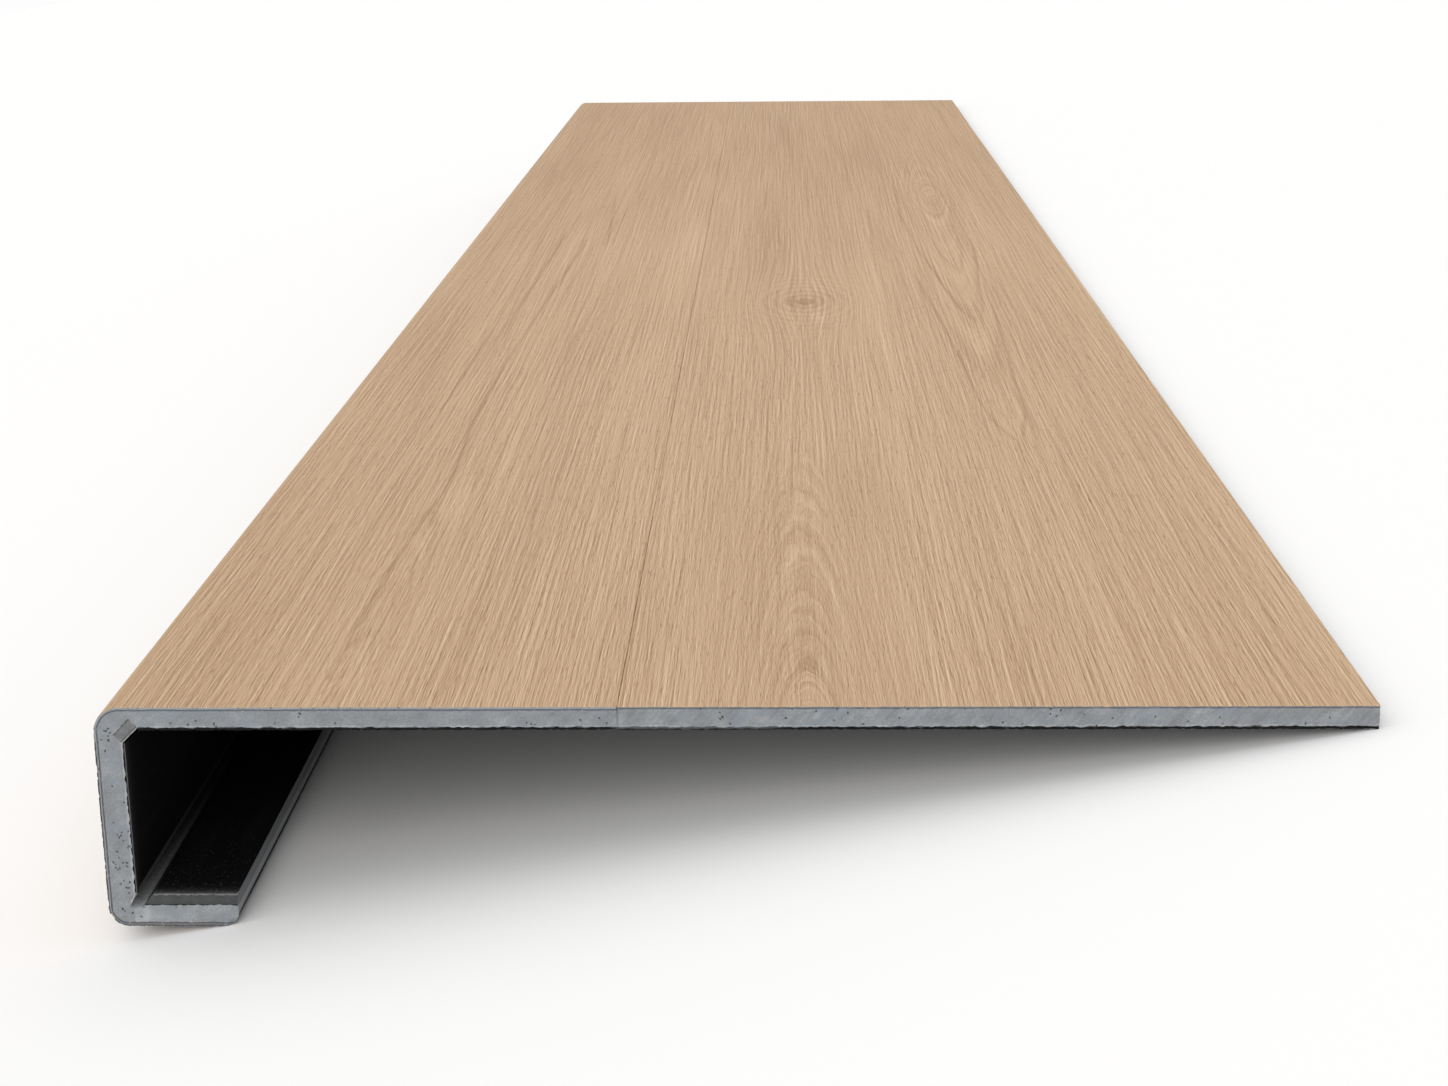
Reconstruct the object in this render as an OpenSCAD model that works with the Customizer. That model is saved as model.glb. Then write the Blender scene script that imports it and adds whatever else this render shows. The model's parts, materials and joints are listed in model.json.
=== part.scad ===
// Renovation stair tread with a folded box nosing, made from rigid vinyl plank.
// Two boards are glued edge to edge. The front one is folded down over the edge
// of the step and back under it. Each board has a wood print on its face, a rigid
// mineral core and a thin dark backing sheet. A thicker pad lies on the return.
//
// The section is drawn on x and z as the tread lies on a step: x runs back from
// the front face, and z runs up from the lowest face of the return.
// Unheld on a level floor the tread tips onto its back edge, and it is laid that way.

/* [Tread] */
// Length of the tread along the step
tread_l = 1220; // [600:10:2400]
// Depth of the nosing board, from the front face to the glued seam
front_board_d = 106; // [60:1:180]
// Depth of the back board, from the seam to the back edge
back_board_d = 152; // [60:1:240]
// Thickness of both boards where they lie on the step
board_t = 5; // [4:0.1:8]

/* [Nosing] */
// Height of the front face, from the underside of the return to the top
nose_h = 48; // [32:0.5:80]
// Thickness of the front leg with its backing
leg_t = 6.4; // [5.6:0.1:9]
// How far the return reaches back under the step
return_d = 27; // [20:0.5:45]
// Thickness of the return without its pad
return_t = 4.7; // [3.8:0.1:7]
// Outside radius of the upper front edge
top_edge_r = 5.5; // [3:0.1:7]
// Outside radius of the lower front edge
heel_r = 4.2; // [2:0.1:6]
// Outside radius under the free end of the return
lip_r = 3; // [1.5:0.1:3.5]

/* [Layers] */
// Thickness of the wood print and wear layer on the nosing board
nosing_decor_t = 1; // [0.4:0.05:1.2]
// Thickness of the wood print and wear layer on the back board
back_decor_t = 0.4; // [0.2:0.05:1]
// Thickness of the dark backing sheet
backing_t = 0.6; // [0.3:0.05:1]
// Thickness of the pad on the return
pad_t = 2.6; // [1:0.1:4]
// How far the pad's front edge is bevelled back
pad_bevel = 2.1; // [0.5:0.1:4]

/* [Folds] */
// Width along each leg of the filled groove in the upper inner corner
groove_w = 3.3; // [2:0.1:4]
// Depth of that groove into the core
groove_depth = 2.6; // [1.5:0.1:3]
// Height of the open notch in the lower inner corner, above the return
notch_h = 2.6; // [1:0.1:5]
// How far the notch is cut into the leg
notch_d = 1.2; // [0.4:0.1:2]
// How far the notch runs back along the return, up to the pad
notch_run = 1.1; // [0.6:0.1:4]
// Depth of the notch into the top face of the return
notch_sink = 0.6; // [0.3:0.1:1.2]

/* [Hidden] */
$fn = 96;
// How far a cut runs past the face that it cuts
over = 1;

tread_d = front_board_d + back_board_d;
underside_z = nose_h - board_t;
// Faces of the core under the backing
core_under_z = underside_z + backing_t;
core_inner_x = leg_t - backing_t;
// Front of the pad on the return, at its foot
pad_x = leg_t + notch_run;

// Supports at rest: the rounded end of the return and the lower back edge
support_dx = tread_d - return_d + lip_r;
support_dz = underside_z - lip_r;
rest_tilt = atan2(support_dz, support_dx) + asin(lip_r / norm([support_dx, support_dz]));
// Lowest and outermost points once tipped, which set the origin
floor_z = underside_z * cos(rest_tilt) - tread_d * sin(rest_tilt);
front_x = heel_r * (cos(rest_tilt) + sin(rest_tilt) - 1);
back_x = tread_d * cos(rest_tilt) + nose_h * sin(rest_tilt);

// Extrudes a section along the length and lays the tread as it rests
module laid() {
    translate([-(front_x + back_x) / 2, 0, -floor_z])
        rotate([0, rest_tilt, 0])
            translate([0, tread_l / 2, 0])
                rotate([90, 0, 0])
                    linear_extrude(height = tread_l)
                        children();
}

// What a round of radius r takes off an outer corner: sx and sz point into the board
module corner_waste(x, z, sx, sz, r) {
    difference() {
        translate([x - (sx > 0 ? over : r), z - (sz > 0 ? over : r)]) square(r + over);
        translate([x + sx * r, z + sz * r]) circle(r);
    }
}

// The folded board's section, with its printed face cut back by inset
module folded_section(inset) {
    difference() {
        union() {
            translate([inset, underside_z])
                square([front_board_d - inset, board_t - inset]);
            translate([inset, inset])
                square([leg_t - inset, nose_h - 2 * inset]);
            translate([inset, inset])
                square([return_d - 2 * inset, return_t - inset]);
        }
        corner_waste(inset, nose_h - inset, 1, -1, top_edge_r - inset);
        corner_waste(inset, inset, 1, 1, heel_r - inset);
        corner_waste(return_d - inset, inset, -1, 1, lip_r - inset);
    }
}

// Groove cut into the upper inner corner so that the board could fold, now filled.
// Its open face cuts the corner off at 45 degrees.
module fold_groove() {
    depth = groove_depth / sqrt(2);
    polygon([
        [core_inner_x + groove_w, core_under_z],
        [core_inner_x, core_under_z - groove_w],
        [core_inner_x - depth, core_under_z - groove_w + depth],
        [core_inner_x + groove_w - depth, core_under_z + depth]
    ]);
}

// Open notch left by the lower fold, between the leg and the return
module fold_notch() {
    polygon([
        [leg_t + over, return_t + notch_h],
        [core_inner_x, return_t + notch_h],
        [core_inner_x - notch_d, return_t],
        [core_inner_x - notch_d, return_t - notch_sink],
        [pad_x, return_t - notch_sink],
        [pad_x, return_t + over]
    ]);
}

// The print wraps the lower end of the return and stops where its round ends
module decor_section() {
    difference() {
        folded_section(0);
        folded_section(nosing_decor_t);
        translate([return_d - nosing_decor_t, lip_r])
            square([nosing_decor_t + over, return_t]);
    }
}

// Backing sheet under the top, from the filled groove to the seam
module backing_top_section() {
    translate([core_inner_x + groove_w, underside_z])
        square([front_board_d - core_inner_x - groove_w, backing_t]);
}

// Backing sheet inside the front leg, from the filled groove down to the notch
module backing_front_section() {
    translate([core_inner_x, return_t + notch_h])
        square([backing_t, core_under_z - groove_w - return_t - notch_h]);
}

// Pad on the return, bevelled towards the notch and flush with the return's end
module pad_section() {
    polygon([
        [pad_x, return_t],
        [return_d, return_t],
        [return_d, return_t + pad_t],
        [pad_x + pad_bevel, return_t + pad_t]
    ]);
}

// The inner corner that the groove's open face leaves empty
module corner_waste_inside() {
    polygon([
        [core_inner_x + groove_w, core_under_z],
        [core_inner_x + groove_w, underside_z - over],
        [leg_t + over, core_under_z - groove_w],
        [core_inner_x, core_under_z - groove_w]
    ]);
}

module nosing_core() {
    color("#8f9494")
        laid() difference() {
            union() {
                folded_section(nosing_decor_t);
                translate([return_d - 2 * nosing_decor_t, lip_r])
                    square([2 * nosing_decor_t, return_t - lip_r]);
            }
            fold_groove();
            corner_waste_inside();
            fold_notch();
            backing_top_section();
            backing_front_section();
        }
}

module nosing_decor() {
    color("#c8aa87")
        laid() decor_section();
}

module fold_filler_strip() {
    color("#6f7374")
        laid() fold_groove();
}

module backing_under_top() {
    color("#262626")
        laid() backing_top_section();
}

module backing_behind_front() {
    color("#262626")
        laid() backing_front_section();
}

module return_pad() {
    color("#3a3b3b")
        laid() pad_section();
}

// One flat layer of the back board, from z_low up
module back_layer(z_low, thickness) {
    laid() translate([front_board_d, z_low])
        square([back_board_d, thickness]);
}

module back_board_core() {
    color("#8f9494")
        back_layer(core_under_z, board_t - backing_t - back_decor_t);
}

module back_board_decor() {
    color("#c8aa87")
        back_layer(nose_h - back_decor_t, back_decor_t);
}

module back_board_backing() {
    color("#262626")
        back_layer(underside_z, backing_t);
}

nosing_core();
nosing_decor();
fold_filler_strip();
backing_under_top();
backing_behind_front();
return_pad();
back_board_core();
back_board_decor();
back_board_backing();
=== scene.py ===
# %% [markdown]
# # A renovation stair tread in Blender
#
# The real object covers an old step. Two planks of rigid vinyl, each a grey mineral core
# with an oak print on top and a black sheet below, are glued edge to edge. The front one
# is folded down over the step's edge and back under it.
#
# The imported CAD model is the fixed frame. It has the right sizes but plain faces, so this
# lesson builds a sawn, slightly ragged copy of each CAD part and gives each one a finish
# made of nodes.

# %% Load the frame
import json
import math
import random
from collections import Counter

import bmesh
import bpy
from mathutils import Matrix, Vector, noise


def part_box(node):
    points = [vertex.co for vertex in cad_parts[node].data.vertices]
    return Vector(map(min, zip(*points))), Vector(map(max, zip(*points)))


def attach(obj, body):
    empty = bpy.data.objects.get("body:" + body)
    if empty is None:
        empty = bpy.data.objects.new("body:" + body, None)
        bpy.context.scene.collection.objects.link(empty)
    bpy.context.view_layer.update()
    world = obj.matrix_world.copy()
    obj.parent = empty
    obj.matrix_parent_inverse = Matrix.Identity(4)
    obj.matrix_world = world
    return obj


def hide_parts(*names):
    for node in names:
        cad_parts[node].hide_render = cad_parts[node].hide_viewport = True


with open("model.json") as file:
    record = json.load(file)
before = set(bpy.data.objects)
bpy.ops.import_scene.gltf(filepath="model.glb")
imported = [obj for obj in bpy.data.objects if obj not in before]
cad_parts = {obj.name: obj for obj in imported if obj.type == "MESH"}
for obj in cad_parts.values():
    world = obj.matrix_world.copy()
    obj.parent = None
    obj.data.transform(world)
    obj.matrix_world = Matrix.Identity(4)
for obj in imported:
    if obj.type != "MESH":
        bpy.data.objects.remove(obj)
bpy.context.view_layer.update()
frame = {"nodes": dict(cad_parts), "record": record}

# %% [markdown]
# ## The section's own axes
#
# The tread is stored as it comes to rest, tipped onto its back edge, so its flat faces lie
# along none of the world's axes. Everything is easier to say in the section's axes, as the
# CAD source draws it: x runs back from the front face and z runs up from the lowest face,
# both in millimetres. The angle could be typed in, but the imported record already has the
# direction of the underside, so it is read from there.

# %% Sizes and axes
TREAD_LENGTH = 1220
TREAD_DEPTH = 258
SEAM_X = 106
NOSE_HEIGHT = 48
LEG_THICKNESS = 6.4
RETURN_DEPTH = 27
RETURN_THICKNESS = 4.7
TOP_EDGE_RADIUS = 5.5
HEEL_RADIUS = 4.2
LIP_RADIUS = 3
UNDERSIDE_Z = 43
END_Y = TREAD_LENGTH / 2

MOUNTS = {m["name"]: m for m in frame["record"]["mounts"]}
DOWN = MOUNTS["underside_bed"]["axis"]
TILT = math.atan2(-DOWN[0], -DOWN[2])
TILTED = Matrix.Rotation(TILT, 4, "Y")
back_top = TILTED @ Vector((TREAD_DEPTH, 0, NOSE_HEIGHT))
back_bottom = TILTED @ Vector((TREAD_DEPTH, 0, UNDERSIDE_Z))
ORIGIN = Vector((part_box("back_board_decor")[1].x * 1000 - back_top.x, 0, -back_bottom.z))
TO_WORLD = Matrix.Scale(0.001, 4) @ Matrix.Translation(ORIGIN) @ TILTED
TO_SECTION = TO_WORLD.inverted()
print("Tilt in degrees:", round(math.degrees(TILT), 4), "origin in mm:", ORIGIN)


# %% [markdown]
# ## The camera
#
# The photograph was taken from beside the near end, a little above the top. A camera was
# fitted to the photo's corners in the section's axes: where it stands, how it is turned,
# and a lens of 59 mm. It is tipped with the tread, so the tread looks level as it does in
# the photo although it rests at an angle on the floor.

# %% Camera
CAMERA_AT = Vector((138.84, -END_Y - 449.81, NOSE_HEIGHT + 163.52))
CAMERA_YAW = math.radians(1.41)
CAMERA_PITCH = math.radians(16.057)
CAMERA_ROLL = math.radians(-0.571)
FOCAL_PIXELS = 2388.9
PHOTO_WIDTH = 1448
SENSOR_WIDTH = 36

ahead = Vector((
    -math.sin(CAMERA_YAW) * math.cos(CAMERA_PITCH),
    math.cos(CAMERA_YAW) * math.cos(CAMERA_PITCH),
    -math.sin(CAMERA_PITCH),
))
level_right = Vector((math.cos(CAMERA_YAW), math.sin(CAMERA_YAW), 0))
level_up = level_right.cross(ahead)
right = math.cos(CAMERA_ROLL) * level_right + math.sin(CAMERA_ROLL) * level_up
up = math.cos(CAMERA_ROLL) * level_up - math.sin(CAMERA_ROLL) * level_right
turned = Matrix((right, up, -ahead)).transposed().to_4x4()

camera = bpy.data.objects.new("camera", bpy.data.cameras.new("camera"))
bpy.context.scene.collection.objects.link(camera)
camera.data.sensor_width = SENSOR_WIDTH
camera.data.lens = SENSOR_WIDTH * FOCAL_PIXELS / PHOTO_WIDTH
camera.data.clip_start = 0.01
camera.data.clip_end = 500
camera.matrix_world = Matrix.Translation(TO_WORLD @ CAMERA_AT) @ TILTED @ turned
bpy.context.scene.camera = camera
bpy.context.scene.view_settings.view_transform = "Standard"
print("Lens in mm:", round(camera.data.lens, 2), "at", camera.matrix_world.translation)


# %% [markdown]
# ## Shader maths as plain expressions
#
# A finish needs dozens of Math nodes. Adding and linking each by hand hides the idea, so a
# small class wraps a socket and lets Python's operators add the nodes: `1 - mask` works as
# it reads. Every other kind of node comes from its `node` method.

# %% Node helper
class Wire:
    """One output of a node in a material. Operators on it add Math nodes."""

    def __init__(self, tree, socket):
        self.tree = tree
        self.socket = socket

    def node(self, kind, settings=None, inputs=None, output=0):
        """Adds a node, sets it up, fills or links its inputs, and returns one output."""
        made = self.tree.nodes.new(kind)
        for name, value in (settings or {}).items():
            if name == "stops":
                set_stops(made.color_ramp, value)
            elif name == "interpolation":
                made.color_ramp.interpolation = value
            else:
                setattr(made, name, value)
        for name, value in (inputs or {}).items():
            if isinstance(value, Wire):
                self.tree.links.new(value.socket, made.inputs[name])
            else:
                made.inputs[name].default_value = value
        return Wire(self.tree, made.outputs[output])

    def math(self, operation, other=0.0):
        """A Math node on this wire, and on another value where the operation takes two."""
        return self.node("ShaderNodeMath", {"operation": operation}, {0: self, 1: other})

    def __add__(self, other):
        return self.math("ADD", other)

    __radd__ = __add__

    def __mul__(self, other):
        return self.math("MULTIPLY", other)

    __rmul__ = __mul__

    def __sub__(self, other):
        return self.math("SUBTRACT", other)

    def __rsub__(self, other):
        return self.node("ShaderNodeMath", {"operation": "SUBTRACT"}, {0: other, 1: self})

    def __truediv__(self, other):
        return self.math("DIVIDE", other)

    def __neg__(self):
        return self.math("MULTIPLY", -1.0)

    def rise(self, start, end):
        """A smooth step: 0 up to start, 1 from end on. It falls if start is past end."""
        inputs = {"Value": self, "From Min": start, "From Max": end}
        return self.node("ShaderNodeMapRange", {"interpolation_type": "SMOOTHSTEP"}, inputs)

    def fade(self, reach):
        """1 where the wire is 0, and it falls to about a third with each reach."""
        return (-(self / reach)).math("EXPONENT")

    def bell(self):
        """1 where the wire is 0, and soon 0 on either side."""
        return (-(self * self)).math("EXPONENT")

    def ramp(self, stops, interpolation="LINEAR"):
        """A colour ramp. A stop is a position and an sRGB colour, or a position and a number."""
        settings = {"stops": stops, "interpolation": interpolation}
        return self.node("ShaderNodeValToRGB", settings, {"Fac": self})

    def bump(self, strength, distance):
        """A bumped normal that takes this wire as its height."""
        inputs = {"Height": self, "Strength": strength, "Distance": distance}
        return self.node("ShaderNodeBump", None, inputs)


# %% [markdown]
# Colours are written as they look on a screen, with red, green and blue from 0 to 255, so
# that they are easy to compare with a picture. Blender calculates with linear colours, so
# each one is converted before it goes into a node.

# %% Colours and ramps
def linear(color):
    """An sRGB colour from 0 to 255, as the linear one that a shader takes."""
    parts = [c / 255 for c in color]
    return [p / 12.92 if p < 0.04045 else ((p + 0.055) / 1.055) ** 2.4 for p in parts] + [1]


def set_stops(ramp, stops):
    """Gives a colour ramp its stops, either all colours or all plain numbers."""
    while len(ramp.elements) < len(stops):
        ramp.elements.new(1)
    for element, (position, value) in zip(ramp.elements, stops):
        element.position = position
        element.color = [value, value, value, 1] if isinstance(value, float) else linear(value)


# %% [markdown]
# ## What every finish starts from and ends with
#
# All finishes read a point's place in the section's axes, so that a pattern runs on from one
# part to the next. A Mapping node turns the object's own coordinates into them. Each finish
# ends with a colour and a slight bump, and in between there is noise: stretched along the
# board it makes wood, and left round it makes stone dust.

# %% Finish helpers
def new_finish(name, roughness, specular):
    """An empty finish, and a point's place in millimetres as three wires.

    They are the section's x, the distance from the near end, and the section's z.
    """
    material = bpy.data.materials.new(name)
    material.use_nodes = True
    tree = material.node_tree
    shader = tree.nodes["Principled BSDF"]
    shader.inputs["Roughness"].default_value = roughness
    shader.inputs["Specular IOR Level"].default_value = specular
    start = Wire(tree, tree.nodes.new("ShaderNodeTexCoord").outputs["Object"])
    shift = -(TILTED.inverted() @ ORIGIN) + Vector((0, END_Y, 0))
    place = start.node("ShaderNodeMapping", None, {
        "Vector": start,
        "Scale": (1000, 1000, 1000),
        "Rotation": (0, -TILT, 0),
        "Location": shift,
    })
    wires = [place.node("ShaderNodeSeparateXYZ", None, {0: place}, i) for i in range(3)]
    return [material] + wires


def finished(material, height, color, strength=0.3, distance=0.0001):
    """Links a colour and a bump to a finish, and returns it."""
    tree = material.node_tree
    shader = tree.nodes["Principled BSDF"]
    tree.links.new(color.socket, shader.inputs["Base Color"])
    tree.links.new(height.bump(strength, distance).socket, shader.inputs["Normal"])
    print("  finish:", material.name, "with", len(tree.nodes), "nodes")
    return material


def mixed(below, above, mask):
    """One colour over another where the mask is 1. Each is three numbers or a wire."""
    below, above = [c if isinstance(c, Wire) else linear(c) for c in (below, above)]
    inputs = {0: mask, 6: below, 7: above}
    return mask.node("ShaderNodeMix", {"data_type": "RGBA"}, inputs, 2)


def speckle(x, y, z, detail=0.0):
    """Smooth noise from 0 to 1 about 0.5. One unit along x, y or z is about one blotch."""
    maker = next(w for w in (x, y, z) if isinstance(w, Wire))
    vector = maker.node("ShaderNodeCombineXYZ", None, {0: x, 1: y, 2: z})
    inputs = {"Vector": vector, "Scale": 1.0, "Detail": detail, "Roughness": 0.5}
    return maker.node("ShaderNodeTexNoise", {"noise_dimensions": "3D"}, inputs)


def stripes(across, along, seed, shift, detail=0.0):
    """Noise about 0 without broad blotches: some noise less the same noise, shifted across."""
    return speckle(across, along, seed, detail) - speckle(across + shift, along, seed, detail)


# %% [markdown]
# ## The oak print
#
# The wood is a printed film, but it shows a real plain-sawn board: fine straight fibres
# along the length, and here and there growth rings that the saw has cut into arches.
# A picture could do it, and so can nodes, if they follow how the figure comes about.
#
# Where rings show, each point has a distance to the trunk's middle line, made of the
# distance across from the arches' axis and the depth of that line below the board. As the
# depth changes along the board, stripes that follow the distance close into arches. Beside
# the nearest arches the fine fibres lean partly the same way, because there the camera shows
# each of them. Elsewhere the fibres run lengthwise, and they bend round the knot.
#
# In all of it, u runs across the unfolded board and v along it from the near end, both in
# millimetres.

# %% Oak: building blocks
LINE_FADE = 25
RAGGED_HALF = 5
RING_RANGE = 25
RING_DARKNESS = 0.075


def course(v, points):
    """A number that changes along the board, from (distance from the near end, value) points."""
    low = min(value for _, value in points)
    spread = max(value for _, value in points) - low
    stops = [(at / TREAD_LENGTH, (value - low) / spread) for at, value in points]
    return low + spread * (v / TREAD_LENGTH).ramp(stops, "B_SPLINE")


def drawn_line(u, v, points, width, start, end):
    """A dark line that wanders across the board along the points, between start and end."""
    off = (u - course(v, points)) / width
    fade = v.rise(start - LINE_FADE, start + LINE_FADE) * v.rise(end + LINE_FADE, end - LINE_FADE)
    return off.bell() * fade


def drawn_lines(u, v, lines):
    """Several such lines, each with its darkness before the rest."""
    return sum(darkness * drawn_line(u, v, *line) for darkness, *line in lines)


def patch(u, v, at, half):
    """A soft oval blotch about a point of the board, 1 in the middle."""
    across = (u - at[0]) / half[0]
    along = (v - at[1]) / half[1]
    return (-(across * across + along * along)).math("EXPONENT")


def patches(u, v, blotches):
    """Several blotches: how light each one is, its middle, and its half width and length."""
    return sum(light * patch(u, v, at, half) for light, at, half in blotches)


def ring_distance(across, along, curve):
    """Grows across the board and along it, so its contours are arches.

    A high curve makes them more pointed.
    """
    near_axis = (across / RAGGED_HALF).bell()
    ragged = near_axis * (speckle(across / 2.5, along / 12, 8.2, 1.0) - 0.5)
    return (across * across + along / curve).math("SQRT") + 1.1 * ragged


def arches(distance, across, v, half_width, seed, strength, rings):
    """Growth rings: fine stripes, and a soft dark line for each (distance, darkness) in rings."""
    fine = stripes(distance / 0.9, v / 150, seed, 0.8 / 0.9)
    wide = speckle(distance / 2.6, v / 200, seed + 2) - 0.5
    stops = []
    for ring, darkness in rings:
        stops.append(((ring - 0.5) / RING_RANGE, 0.0))
        stops.append((ring / RING_RANGE, darkness))
        stops.append(((ring + 1.0) / RING_RANGE, 0.0))
    tone = strength * (fine + 0.4 * wide) - RING_DARKNESS * (distance / RING_RANGE).ramp(stops)
    return tone * (across / half_width).bell()


# %% [markdown]
# The front board has one faint row of arches at its near end, and a few long dark lines. The
# arches come from the ring distance. The lines and blotches are single features, so they
# stand in two lists, placed where the photo shows them: for a line how dark it is, its course,
# its width, and where it starts and ends, and for a blotch how light it is, where, and its
# half width and half length.

# %% Oak: the front board's figure
FRONT_ARCHES_X = 48
FRONT_RINGS = [(6.5, 0.15), (8.6, 0.2), (10.4, 0.3)]
FRONT_LINES = [
    (0.55, [
        (0, 45), (60, 45), (100, 45.3), (140, 46.7), (187, 49.7), (250, 45), (385, 47.5),
        (480, 50), (593, 54),
    ], 0.6, 30, 610),
    (0.4, [(380, 38.5), (580, 43)], 0.6, 330, 620),
    (0.4, [(600, 64.5), (740, 56)], 0.7, 590, 750),
    (0.3, [(250, 35), (640, 33)], 0.5, 260, 620),
    (0.25, [(150, 64), (420, 66)], 0.5, 160, 400),
]
FRONT_PATCHES = [
    (0.1, (54, 160), (2.5, 22)),
    (0.07, (100, 580), (8, 70)),
    (0.025, (30, 420), (4, 160)),
    (-0.03, (72, 330), (7, 120)),
    (-0.06, (71, 90), (7, 90)),
    (-0.07, (65, 1110), (9, 160)),
    (0.04, (7, 980), (8, 320)),
]


def figure_of_front_board(u, v):
    """The folded board's own figure, darker to lighter about 0.

    Also the ring distance that the fibres follow near the end, and where they do.
    """
    across = u - FRONT_ARCHES_X
    distance = ring_distance(across, (v + 20).math("MINIMUM", 200.0), 1.5)
    rings = v.rise(220, 150) * arches(distance, across, v, 12, 5.0, 0.06, FRONT_RINGS)
    figure = rings - 0.26 * drawn_lines(u, v, FRONT_LINES) + patches(u, v, FRONT_PATCHES)
    return figure, distance, 0.45 * across.math("ABSOLUTE").rise(18, 10) * v.rise(185, 130)


# %% [markdown]
# The back board has most of the figure: a row of arches that starts at the near end, a knot,
# and on the right a second row that closes round an eye. Dark lines in V shapes stand
# inside that second row.

# %% Oak: the back board's figure
NEAR_ARCHES_X = 144.3
NEAR_RINGS = [(5.8, 1.0), (8.0, 0.9), (10.5, 0.4), (13.3, 0.4), (15.6, 0.45), (17.8, 0.4)]
FAR_ARCHES_X = 203
FAR_RINGS = [(3.4, 0.5), (5.5, 0.8), (8.0, 0.65), (10.8, 0.5)]
EYE_Y = 747.0
KNOT_X = 148.3
KNOT_Y = 450
BACK_LINES = [
    (0.6, [
        (222, 208), (228, 206.3), (247, 202.7), (280, 200.4), (350, 199.3), (423, 197),
        (530, 192.5),
    ], 0.7, 222, 500),
    (0.6, [
        (222, 208.6), (240, 211), (260, 213.3), (340, 215.4), (407, 217.5), (520, 220),
    ], 0.6, 222, 500),
    (0.6, [
        (412, 211), (427, 206), (480, 203.3), (533, 200.8), (573, 198), (633, 197.5),
        (707, 194.5),
    ], 0.7, 412, 690),
    (0.55, [
        (412, 211.7), (440, 215.4), (490, 217.5), (523, 220), (557, 221.7), (640, 223),
    ], 0.6, 412, 600),
    (0.45, [(519, 212), (540, 209), (567, 206.7), (640, 205)], 0.6, 519, 640),
    (0.45, [(519, 212.6), (543, 215), (573, 216.7), (640, 218)], 0.6, 519, 640),
    (0.35, [(300, 177), (470, 180), (640, 181)], 0.5, 300, 700),
    (0.35, [(300, 181), (470, 184), (640, 184.5)], 0.5, 260, 600),
]
BACK_PATCHES = [
    (-0.07, (KNOT_X, KNOT_Y + 2), (10, 18)),
    (-0.1, (KNOT_X - 1, KNOT_Y - 1), (6, 6)),
    (0.1, (153, 418), (2.5, 9)),
    (-0.08, (136, 590), (9, 110)),
    (-0.1, (144.5, 30), (2.5, 7)),
    (0.05, (213, 760), (4, 60)),
    (-0.035, (180, 900), (14, 120)),
    (0.05, (177, 300), (5, 200)),
    (-0.05, (196, 750), (5, 90)),
    (0.04, (209, 620), (4, 50)),
    (0.05, (209, 110), (4, 60)),
    (-0.05, (142, 1000), (6, 70)),
]


def knot_rings(u, v):
    """Uneven rings round the knot, longer than they are wide, dark to light about 0."""
    across = (u - KNOT_X) / 1.2
    along = (v - KNOT_Y) / 2.4
    distance = (across * across + along * along).math("SQRT")
    wave = (distance * 1.75 + speckle(u / 6, v / 14, 6.1) * 2).math("SINE")
    return wave * patch(u, v, (KNOT_X, KNOT_Y), (19, 46))


def figure_of_back_board(u, v):
    """The same for the back board, which has two rows of arches and a knot."""
    near_across = u - NEAR_ARCHES_X
    near_distance = ring_distance(near_across, v.math("MINIMUM", 240.0), 0.75)
    near_rings = arches(near_distance, near_across, v, 28, 7.0, 0.08, NEAR_RINGS)
    far_across = u - FAR_ARCHES_X - v / 70
    to_eye = (EYE_Y - v).math("ABSOLUTE").math("MINIMUM", EYE_Y - 200)
    far_distance = ring_distance(far_across, to_eye, 1.15)
    far_rings = arches(far_distance, far_across, v, 17, 9.0, 0.13, FAR_RINGS)
    figure = v.rise(230, 100) * near_rings + v.rise(180, 260) * v.rise(920, 820) * far_rings
    figure = figure - 0.22 * drawn_lines(u, v, BACK_LINES)
    figure = figure + 0.05 * knot_rings(u, v) + patches(u, v, BACK_PATCHES)
    return figure, near_distance, near_across.math("ABSOLUTE").rise(29, 18) * v.rise(240, 150)


# %% [markdown]
# On top of the figure lie the fibres, from the finest grit to broad bands. The photo shows
# the finest ones only at the near end, so they get fainter along the board. Pores are short
# dark strokes. The colour is a ramp over the tone. Painted shade darkens the film where it
# turns under the return, the front face beside the saw cut, and a little towards the far
# end and the nose.

# %% Oak: the film's colour
OAK_TONES = [
    (0.0, (128, 99, 72)),
    (0.25, (166, 135, 104)),
    (0.4, (185, 154, 123)),
    (0.5, (197, 167, 135)),
    (0.6, (208, 179, 147)),
    (0.78, (221, 195, 164)),
    (1.0, (232, 209, 180)),
]


def fibres(across, v, width):
    """Fine dark and light fibres along the board, about 0."""
    clear = 1 + 0.25 * v.rise(240, 60) - 0.62 * v.rise(250, 700)
    single = 0.87 * stripes(across / width, v / 14, 2.9, 1.2, 1.5) * clear
    wide = across / (2.4 * width)
    pairs = stripes(wide, v / 32, 5.2, 0.7)
    crease = (speckle(wide, v / 28, 4.7) - 0.5).math("ABSOLUTE").rise(0.04, 0.0)
    return 0.5 * single + 0.26 * pairs - 0.12 * crease


def unfolded(x, z):
    """How far back a point of the film lies on the board before it is folded.

    It is 0 at the nose's upper corner, and below 0 down the front and under the return.
    """
    upper = z.rise(NOSE_HEIGHT / 2 - 0.5, NOSE_HEIGHT / 2 + 0.5)
    return x * (2 * upper - 1) + z - NOSE_HEIGHT


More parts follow.
